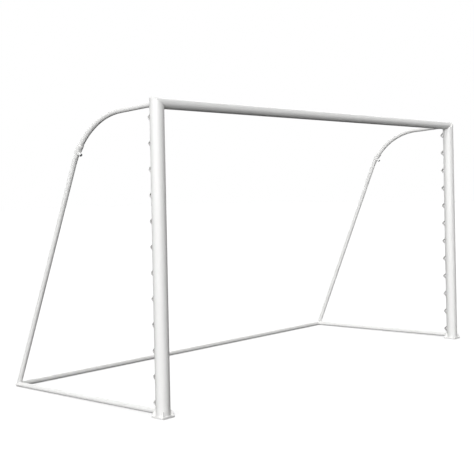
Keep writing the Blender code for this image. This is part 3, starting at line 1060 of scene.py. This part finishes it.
class GOAL_OT_net_loops(bpy.types.Operator):
    """Make one net loop with its two toe welds and copy it down both posts"""

    bl_idname = "goal.net_loops"
    bl_label = "Net loops"

    def execute(self, context):
        nose = POST_RADIUS + LOOP_REACH - LOOP_THICKNESS / 2 - LOOP_NOSE_RADIUS
        root = POST_RADIUS - LOOP_ROOT
        length = math.hypot(nose - root, LOOP_HALF_BASE)
        lean = math.atan2(LOOP_HALF_BASE, nose - root)
        touch = math.pi - lean - math.acos(LOOP_NOSE_RADIUS / length)
        middle = Vector((0, nose, 0))
        across = Vector((0, math.cos(touch), math.sin(touch)))
        start = Vector((0, root, LOOP_HALF_BASE))
        arm = middle + LOOP_NOSE_RADIUS * across - start
        bpy.ops.mesh.primitive_plane_add(size=1.0, location=start, rotation=facing(arm))
        context.object.scale = (LOOP_WIDTH, LOOP_THICKNESS, 1.0)
        loop = new_object("net_loop")
        with editing(loop, 'FACE'):
            bpy.ops.mesh.select_all(action='SELECT')
            draw_straight(arm * (1 - LOOP_END_SHARE))
            draw_straight(arm * LOOP_END_SHARE)
            draw_bend(middle, 2 * touch, LOOP_NOSE_ROUNDS)
            back = Vector((0, -arm.y, arm.z))
            draw_straight(back * LOOP_END_SHARE)
            draw_straight(back * (1 - LOOP_END_SHARE))
        face_outwards(loop)
        details = context.scene.goal_details
        cope = bar("post_cope", (0, 0, -CUTTER_REACH), (0, 0, CUTTER_REACH),
                   POST_RADIUS - POST_WALL / 2, details.post_sides)
        carve(loop, cope)
        round_edges(loop, details.loop_edge, 3,
                    lambda a, b: a.x * b.x > 0 and max(a.y, b.y) > POST_RADIUS, 60)
        toes = [self.toe_weld(start, arm, across, up) for up in (1, -1)]
        loop = join("net_loop", loop, *toes)
        for name, side in SIDES:
            for number in range(LOOP_COUNT):
                height = LOOP_LOWEST + number * LOOP_PITCH
                copy = duplicate(loop, f"{name}_loop_bar_{number + 1:02d}",
                                 Matrix.Translation(post_point(side, height)))
                finish_piece(copy, loop_bar_paint(),
                             f"{name}_net_loop_{number + 1:02d}")
        bpy.data.objects.remove(loop, do_unlink=True)
        return {'FINISHED'}

    def toe_weld(self, start, arm, across, up):
        """The bead round one end of the loop, where its bar meets the post."""
        line = []
        for first, second in zip(TOE_CORNERS, (*TOE_CORNERS[1:], TOE_CORNERS[0])):
            for number in range(TOE_POINTS):
                wide, thick = Vector(first).lerp(Vector(second), number / TOE_POINTS)
                x = wide * LOOP_WIDTH / 2
                place = start + across * thick * LOOP_THICKNESS / 2
                y = math.sqrt(POST_RADIUS ** 2 - x ** 2)
                place = place + arm * ((y - place.y) / arm.y)
                line.append(Vector((x, y, up * place.z)))
        return weld_bead("toe_weld", line, TOE_WELD_SIZE)


class GOAL_OT_upper_stays(bpy.types.Operator):
    """Make the bent stays from the corners to the joint with the legs"""

    bl_idname = "goal.upper_stays"
    bl_label = "Upper stays"

    def execute(self, context):
        details = context.scene.goal_details
        end_slope = bend_slope(JOINT_STEP - JOINT_GAP_STEPS)
        for name, side in SIDES:
            start = post_point(side, BAR_HEIGHT)
            stay = ring(name + "_stay_tube", start, heading(STAY_SLOPE), TUBE_RADIUS,
                        details.tube_sides)
            with editing(stay, 'EDGE'):
                bpy.ops.mesh.select_all(action='SELECT')
                draw_straight(bend_point(side, 0) - start)
                draw_bend(bend_centre(side), end_slope - STAY_SLOPE, STAY_ROUNDS)
            face_outwards(stay)
            give_wall(stay, TUBE_WALL)
            post = bar("post_cope", post_point(side, BAR_HEIGHT - CUTTER_REACH),
                       post_point(side, GOAL_TOP + OVERRUN), POST_RADIUS, details.post_sides)
            cut_off(post, mitre_point(side, SEAT), mitre_normal(side))
            across = Vector((2 * POST_RADIUS, 0, 0))
            crossbar = bar("bar_cope", start - across, start + across, BAR_RADIUS,
                           details.post_sides)
            carve(stay, post, crossbar)
            finish_piece(stay, tube_paint("stay"), name + "_upper_stay")
        return {'FINISHED'}


class GOAL_OT_sleeves(bpy.types.Operator):
    """Make the sleeves over the joints between stays and legs"""

    bl_idname = "goal.sleeves"
    bl_label = "Sleeves"

    def execute(self, context):
        details = context.scene.goal_details
        top, end = bend_slope(SLEEVE_TOP_STEP), bend_slope(SLEEVE_END_STEP)
        for name, side in SIDES:
            sleeve = ring(name + "_sleeve_tube", bend_point(side, SLEEVE_TOP_STEP),
                          heading(top), SLEEVE_RADIUS, details.tube_sides)
            with editing(sleeve, 'EDGE'):
                bpy.ops.mesh.select_all(action='SELECT')
                draw_bend(bend_centre(side), end - top, SLEEVE_ROUNDS)
            face_outwards(sleeve)
            give_wall(sleeve, SLEEVE_WALL)
            round_edges(sleeve, details.rim_edge, angle=60)
            carve(sleeve, lock_drill(side, BOLT_TIP))
            finish_piece(sleeve, tube_paint("stay"), name + "_stay_sleeve")
        return {'FINISHED'}


class GOAL_OT_rear_legs(bpy.types.Operator):
    """Make the rear legs from the sleeves down to the ground rails"""

    bl_idname = "goal.rear_legs"
    bl_label = "Rear legs"

    def execute(self, context):
        details = context.scene.goal_details
        start_step = JOINT_STEP + JOINT_GAP_STEPS
        start_slope = bend_slope(start_step)
        for name, side in SIDES:
            leg = ring(name + "_leg_tube", bend_point(side, start_step),
                       heading(start_slope), TUBE_RADIUS, details.tube_sides)
            with editing(leg, 'EDGE'):
                bpy.ops.mesh.select_all(action='SELECT')
                draw_bend(bend_centre(side), LEG_SLOPE - start_slope, LEG_ROUNDS)
                draw_straight(rail_point(side, GOAL_DEPTH) - bend_point(side, BEND_STEPS))
            face_outwards(leg)
            give_wall(leg, TUBE_WALL)
            carve(leg, lock_drill(side, BOLT_TIP / 2), rail_cope(side, details.tube_sides))
            finish_piece(leg, tube_paint("leg"), name + "_rear_leg")
        return {'FINISHED'}


class GOAL_OT_ground_rails(bpy.types.Operator):
    """Make the side rails with their end caps, and the rear rail between them"""

    bl_idname = "goal.ground_rails"
    bl_label = "Ground rails"

    def execute(self, context):
        details = context.scene.goal_details
        sides = details.tube_sides
        copes = []
        for name, side in SIDES:
            end = rail_point(side, RAIL_END - CAP_THICKNESS - SEAT)
            rail = bar(name + "_ground_rail_tube", rail_point(side, 0), end, TUBE_RADIUS,
                       sides, 'NOTHING')
            give_wall(rail, TUBE_WALL)
            post = bar("post_cope", post_point(side, -OVERRUN), post_point(side, 2 * CUTTER_REACH),
                       POST_RADIUS, details.post_sides)
            carve(rail, post)
            finish_piece(rail, tube_paint("side_rail"), name + "_side_rail")
            cap = bar(name + "_rail_end_disc", rail_point(side, RAIL_END - CAP_THICKNESS),
                      rail_point(side, RAIL_END), TUBE_RADIUS, sides)
            round_edges(cap, details.rim_edge, 4, lambda a, b: a.y > end.y + CAP_THICKNESS / 2)
            finish_piece(cap, tube_paint("side_rail"), name + "_rail_cap")
            copes.append(rail_cope(side, sides))
            copes.append(bar("leg_cope", bend_point(side, BEND_STEPS),
                             rail_point(side, GOAL_DEPTH), TUBE_RADIUS, sides))
        rear = bar("rear_rail_tube", rail_point(-1, GOAL_DEPTH), rail_point(1, GOAL_DEPTH),
                   TUBE_RADIUS, sides, 'NOTHING')
        give_wall(rear, TUBE_WALL)
        carve(rear, *copes)
        finish_piece(rear, tube_paint("rear_rail"), "rear_ground_rail")
        return {'FINISHED'}


def hexagon(name, bottom, top):
    """A hexagon bar along +Z, its corners turned to a cone at the top."""
    bpy.ops.mesh.primitive_cylinder_add(
        vertices=6, radius=HEX_ACROSS_FLATS / math.sqrt(3), depth=top - bottom,
        location=(0, 0, (top + bottom) / 2), rotation=(0, 0, math.radians(30)))
    block = new_object(name)
    rise = HEX_FACE_RADIUS * math.tan(CHAMFER_SLOPE)
    depth = 3 * rise
    bpy.ops.mesh.primitive_cone_add(
        vertices=72, radius1=depth / math.tan(CHAMFER_SLOPE), radius2=0, depth=depth,
        location=(0, 0, top + rise - depth / 2))
    carve(block, new_object("chamfer_cone"), operation='INTERSECT')
    return block


class GOAL_OT_lock_nuts(bpy.types.Operator):
    """Make the chamfered nuts that are welded on the sleeves"""

    bl_idname = "goal.lock_nuts"
    bl_label = "Lock nuts"

    def execute(self, context):
        top = SLEEVE_RADIUS + NUT_HEIGHT
        nut = hexagon("lock_nut", SLEEVE_RADIUS - NUT_SINK, top)
        bore = bar("bore", (0, 0, 0), (0, 0, CUTTER_REACH), BOLT_RADIUS + THREAD_PLAY,
                   NUT_SIDES)
        bpy.ops.mesh.primitive_cone_add(
            vertices=NUT_SIDES, radius1=0, radius2=COUNTERSINK_SIZE, depth=COUNTERSINK_SIZE,
            location=(0, 0, top - COUNTERSINK_DROP))
        carve(nut, bore, new_object("countersink"))
        for name, side in SIDES:
            copy = duplicate(nut, name + "_lock_hex_nut", lock_frame(side))
            finish_piece(copy, plate_paint(), name + "_lock_nut")
        bpy.data.objects.remove(nut, do_unlink=True)
        return {'FINISHED'}


class GOAL_OT_lock_bolts(bpy.types.Operator):
    """Make the threaded hexagon bolts that lock the legs in the sleeves"""

    bl_idname = "goal.lock_bolts"
    bl_label = "Lock bolts"

    def execute(self, context):
        pitch = context.scene.goal_details.thread_pitch
        head_bottom = SLEEVE_RADIUS + NUT_HEIGHT + SEAT
        shank_top = head_bottom + BOLT_HEAD_HEIGHT / 2
        shank = bar("shank", (0, 0, BOLT_TIP), (0, 0, shank_top), BOLT_RADIUS, BOLT_SIDES)
        with editing(shank, 'EDGE'):
            select_edges(shank, lambda a, b: abs(a.z - b.z) > NEARLY_LEVEL)
            bpy.ops.mesh.subdivide(number_cuts=THREAD_CUTS)
        depth = THREAD_DEPTH_SHARE * pitch
        for vertex in shank.data.vertices:
            place = vertex.co
            if not BOLT_TIP - NEARLY_LEVEL < place.z < head_bottom:
                continue
            turns = place.z / pitch - math.atan2(place.y, place.x) / (2 * math.pi)
            groove = min(1.0, THREAD_CREST * abs(2 * (turns % 1.0) - 1.0))
            taper = min(1.0, (place.z - BOLT_TIP) / TIP_TAPER_LENGTH)
            radius = BOLT_RADIUS - depth * (1.0 - groove) - TIP_TAPER_DEPTH * (1.0 - taper)
            flat = Vector((place.x, place.y)).normalized() * radius
            place.x, place.y = flat
        head = hexagon("head", head_bottom, head_bottom + BOLT_HEAD_HEIGHT)
        bpy.ops.mesh.primitive_cylinder_add(
            vertices=64, radius=HEX_FACE_RADIUS, depth=WASHER_FACE_HEIGHT,
            location=(0, 0, head_bottom + WASHER_FACE_HEIGHT / 2 - WASHER_FACE_PROUD))
        carve(head, new_object("washer_face"), operation='UNION')
        bolt = join("lock_bolt", shank, head)
        mark_worn_edges(bolt, flat=0.90)
        for name, side in SIDES:
            copy = duplicate(bolt, name + "_lock_hex_bolt", lock_frame(side))
            finish_piece(copy, zinc_plate(), name + "_lock_bolt",
                         name + "_lock", smooth=BOLT_SMOOTH)
        bpy.data.objects.remove(bolt, do_unlink=True)
        return {'FINISHED'}


class GOAL_OT_welds(bpy.types.Operator):
    """Lay the weld beads at every joint of the frame"""

    bl_idname = "goal.welds"
    bl_label = "Welds"

    def execute(self, context):
        size = context.scene.goal_details.weld_size
        up = Vector((0, 0, 1))
        for name, side in SIDES:
            post = round_surface(post_point(side, 0), up, POST_RADIUS)
            rail_line = rail_point(side, GOAL_DEPTH) - rail_point(side, 0)
            rail = round_surface(rail_point(side, 0), rail_line, TUBE_RADIUS)
            leg_line = heading(LEG_SLOPE)
            corner = rail_point(side, GOAL_DEPTH)
            leg = round_surface(corner, leg_line, TUBE_RADIUS)
            bar_side = round_surface(post_point(side, BAR_HEIGHT), (1, 0, 0), BAR_RADIUS)
            normal, seam = mitre_normal(side), mitre_point(side, 0)

            def above_mitre(place):
                return (place - seam).dot(normal)

            def corner_surface(place):
                return min(bar_side(place), max(post(place), above_mitre(place)))

            def rail_and_leg(place):
                return min(rail(place), leg(place))

            lock = lock_frame(side)
            sleeve = round_surface(lock.translation, heading(bend_slope(LOCK_STEP)),
                                   SLEEVE_RADIUS)
            runs = {
                "foot_weld": (post_point(side, 0), up, POST_RADIUS,
                              lambda place: place.z - PLATE_THICKNESS),
                "mitre_weld": (post_point(side, BAR_HEIGHT), (-side, 0, 0), BAR_RADIUS,
                               above_mitre),
                "corner_seam": (post_point(side, BAR_HEIGHT - WELD_REACH / 2), up, POST_RADIUS,
                                lambda place: above_mitre(place) + CORNER_SEAM_DEPTH),
                "stay_weld": (post_point(side, BAR_HEIGHT), heading(STAY_SLOPE), TUBE_RADIUS,
                              corner_surface),
                "sleeve_weld": (bend_point(side, SLEEVE_TOP_STEP),
                                -heading(bend_slope(SLEEVE_TOP_STEP)), TUBE_RADIUS, None),
                "leg_weld": (corner, -leg_line, TUBE_RADIUS, rail),
                "rail_weld": (rail_point(side, 0), rail_line, TUBE_RADIUS, post),
                "rear_rail_weld": (corner, (-side, 0, 0), TUBE_RADIUS, rail_and_leg),
                "rail_cap_weld": (rail_point(side, RAIL_END - CAP_THICKNESS - SEAT), rail_line,
                                  TUBE_RADIUS, None),
                "nut_weld": (lock.translation, lock.to_3x3() @ up, NUT_WELD_RADIUS, sleeve),
            }
            for label, (start, direction, radius, surface) in runs.items():
                width, outset, count = BEADS[label]
                line = circle_line(start, direction, radius + outset, count)
                if surface is not None:
                    line = meeting_line(line, direction, surface)
                bead = weld_bead(f"{name}_{label}", line, size * width)
                trim_to_box(bead)
                finish_piece(bead, weld_paint(), smooth=WELD_SMOOTH)
        return {'FINISHED'}


class GOAL_OT_gusset_welds(bpy.types.Operator):
    """Lay fillet welds on both sides of every gusset, along the plate and up the post"""

    bl_idname = "goal.gusset_welds"
    bl_label = "Gusset welds"

    def execute(self, context):
        size = context.scene.goal_details.weld_size * FILLET_WIDTH
        inner = POST_RADIUS + SEAT
        bottom = PLATE_THICKNESS
        runs = [
            ((inner + GUSSET_CLIP + FILLET_START, bottom),
             (inner + GUSSET_REACH - FILLET_END, bottom)),
            ((POST_RADIUS, bottom + GUSSET_CLIP + FILLET_START),
             (POST_RADIUS, bottom + GUSSET_HEIGHT - FILLET_END)),
        ]
        fillets = []
        for first, second in runs:
            for across in (-1, 1):
                off = across * (GUSSET_THICKNESS / 2 - FILLET_INSET)
                start = Vector((first[0], off, first[1]))
                end = Vector((second[0], off, second[1]))
                fillet = ring("fillet", start, end - start, size, 10, filled=True)
                count = max(4, round((end - start).length / FILLET_STEP))
                with editing(fillet, 'FACE'):
                    bpy.ops.mesh.select_all(action='SELECT')
                    for number in range(count):
                        draw_straight((end - start) / count)
                        swell = FILLET_SWELL if number % 2 else 1 / FILLET_SWELL
                        bpy.ops.transform.resize(value=(swell, swell, swell))
                face_outwards(fillet)
                fillets.append(fillet)
        fillet = join("fillets", *fillets)
        for name, side in SIDES:
            copies = [duplicate(fillet, "fillet_copy", foot_diagonal(side, number))
                      for number in range(4)]
            welds = join(name + "_gusset_welds", *copies)
            finish_piece(welds, weld_paint(), smooth=WELD_SMOOTH)
        bpy.data.objects.remove(fillet, do_unlink=True)
        return {'FINISHED'}


class GOAL_OT_stage(bpy.types.Operator):
    """Set the floor, the soft studio lights, the white backdrop and the camera"""

    bl_idname = "goal.stage"
    bl_label = "Stage"

    def execute(self, context):
        studio = context.scene.goal_studio
        self.lay_floor(studio)
        self.hang_lights(studio)
        self.fill_world(studio)
        self.set_camera()
        return {'FINISHED'}

    def lay_floor(self, studio):
        bpy.ops.mesh.primitive_plane_add(size=studio.floor_size, location=(0, 0, -FLOOR_DROP))
        floor = new_object("studio_floor")
        material, tree, shader = new_material("studio_floor_paint")
        place = add_node(tree, 'ShaderNodeTexCoord').outputs["Object"]
        grain = noise(tree, place, 40.0, detail=3.0)
        value = plus(tree, times(tree, grain, 0.02), 0.99)
        colour = add_node(tree, 'ShaderNodeHueSaturation', {
            "Color": (*studio.floor, 1.0), "Value": value}).outputs[0]
        tree.links.new(colour, shader.inputs["Base Color"])
        shader.inputs["Roughness"].default_value = 0.9
        shader.inputs["Specular IOR Level"].default_value = 0.0
        seen = add_node(tree, 'ShaderNodeLightPath').outputs["Is Camera Ray"]
        glow = add_node(tree, 'ShaderNodeEmission', {
            "Color": WHITE, "Strength": studio.floor_glow})
        dark = add_node(tree, 'ShaderNodeBsdfDiffuse', {"Color": FLOOR_BOUNCE})
        lit = add_node(tree, 'ShaderNodeAddShader', {0: shader.outputs[0], 1: glow.outputs[0]})
        mixed = add_node(tree, 'ShaderNodeMixShader', {
            0: seen, 1: dark.outputs[0], 2: lit.outputs[0]})
        tree.links.new(mixed.outputs[0], tree.nodes["Material Output"].inputs["Surface"])
        floor.data.materials.append(material)

    def hang_lights(self, studio):
        # Name, degrees round the goal from its mouth to the left, height and width in degrees
        lights = [
            ("left_light", 90, 15, 60, studio.left_strength),
            ("front_light", 50, 10, 50, studio.front_strength),
            ("high_light", 30, 45, 90, studio.high_strength),
            ("rear_light", -140, 30, 60, studio.rear_strength),
        ]
        for name, round_goal, height, width, strength in lights:
            turn, rise = math.radians(round_goal), math.radians(height)
            place = Vector((-math.sin(turn) * math.cos(rise),
                            -math.cos(turn) * math.cos(rise), math.sin(rise))) * LAMP_DISTANCE
            bpy.ops.object.light_add(
                type='SUN', location=place, rotation=(-place).to_track_quat('-Z', 'Y').to_euler())
            light = bpy.context.object
            light.name = name
            light.data.energy = strength
            light.data.angle = math.radians(width)

    def fill_world(self, studio):
        world = bpy.data.worlds.new("studio_backdrop")
        bpy.context.scene.world = world
        world.use_nodes = True
        tree = world.node_tree
        even = tree.nodes["Background"]
        even.inputs["Color"].default_value = WHITE
        even.inputs["Strength"].default_value = studio.sky_strength
        white = add_node(tree, 'ShaderNodeBackground', {"Color": WHITE, "Strength": 1.0})
        rays = add_node(tree, 'ShaderNodeLightPath').outputs
        seen = math_node(tree, 'MAXIMUM', rays["Is Camera Ray"],
                         math_node(tree, 'MAXIMUM', rays["Is Glossy Ray"],
                                   rays["Is Transmission Ray"]))
        mixed = add_node(tree, 'ShaderNodeMixShader', {
            0: seen, 1: even.outputs[0], 2: white.outputs[0]})
        tree.links.new(mixed.outputs[0], tree.nodes["World Output"].inputs["Surface"])
        bpy.context.scene.view_settings.view_transform = 'Standard'

    def set_camera(self):
        turn = (Matrix.Rotation(-CAMERA_YAW, 4, 'Z')
                @ Matrix.Rotation(math.radians(90) + CAMERA_PITCH, 4, 'X')
                @ Matrix.Rotation(CAMERA_ROLL, 4, 'Z'))
        bpy.ops.object.camera_add(location=CAMERA_PLACE, rotation=turn.to_euler())
        camera = bpy.context.object
        camera.name = "photograph_camera"
        camera.data.sensor_width = 36
        camera.data.lens = CAMERA_LENS
        camera.data.shift_y = CAMERA_SHIFT_Y
        camera.data.clip_start = 0.05
        camera.data.clip_end = 200
        bpy.context.scene.camera = camera


OPERATORS = (
    GOAL_OT_posts,
    GOAL_OT_corner_plates,
    GOAL_OT_crossbar,
    GOAL_OT_base_plates,
    GOAL_OT_gussets,
    GOAL_OT_net_loops,
    GOAL_OT_upper_stays,
    GOAL_OT_sleeves,
    GOAL_OT_rear_legs,
    GOAL_OT_ground_rails,
    GOAL_OT_lock_nuts,
    GOAL_OT_lock_bolts,
    GOAL_OT_welds,
    GOAL_OT_gusset_welds,
    GOAL_OT_stage,
)


class GOAL_PT_panel(bpy.types.Panel):
    """Sizes, finishes and building steps of the goal"""

    bl_idname = "GOAL_PT_panel"
    bl_label = "Mini Soccer Goal"
    bl_space_type = 'VIEW_3D'
    bl_region_type = 'UI'
    bl_category = "Soccer Goal"

    def draw(self, context):
        layout = self.layout
        scene = context.scene
        for settings in (scene.goal_details, scene.goal_paint, scene.goal_studio):
            box = layout.box()
            for name in settings.__annotations__:
                box.prop(settings, name)
        column = layout.column(align=True)
        for operator in OPERATORS:
            column.operator(operator.bl_idname)


CLASSES = (GoalDetailSizes, GoalPaint, GoalStudio, *OPERATORS, GOAL_PT_panel)


def register():
    for cls in CLASSES:
        bpy.utils.register_class(cls)
    bpy.types.Scene.goal_details = PointerProperty(type=GoalDetailSizes)
    bpy.types.Scene.goal_paint = PointerProperty(type=GoalPaint)
    bpy.types.Scene.goal_studio = PointerProperty(type=GoalStudio)


def unregister():
    del bpy.types.Scene.goal_studio
    del bpy.types.Scene.goal_paint
    del bpy.types.Scene.goal_details
    for cls in reversed(CLASSES):
        bpy.utils.unregister_class(cls)


def main():
    """Register the add-on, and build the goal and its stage."""
    register()
    bpy.ops.goal.posts()
    bpy.ops.goal.corner_plates()
    bpy.ops.goal.crossbar()
    bpy.ops.goal.base_plates()
    bpy.ops.goal.gussets()
    bpy.ops.goal.net_loops()
    bpy.ops.goal.upper_stays()
    bpy.ops.goal.sleeves()
    bpy.ops.goal.rear_legs()
    bpy.ops.goal.ground_rails()
    bpy.ops.goal.lock_nuts()
    bpy.ops.goal.lock_bolts()
    bpy.ops.goal.welds()
    bpy.ops.goal.gusset_welds()
    bpy.ops.goal.stage()


if __name__ == "__main__":
    main()
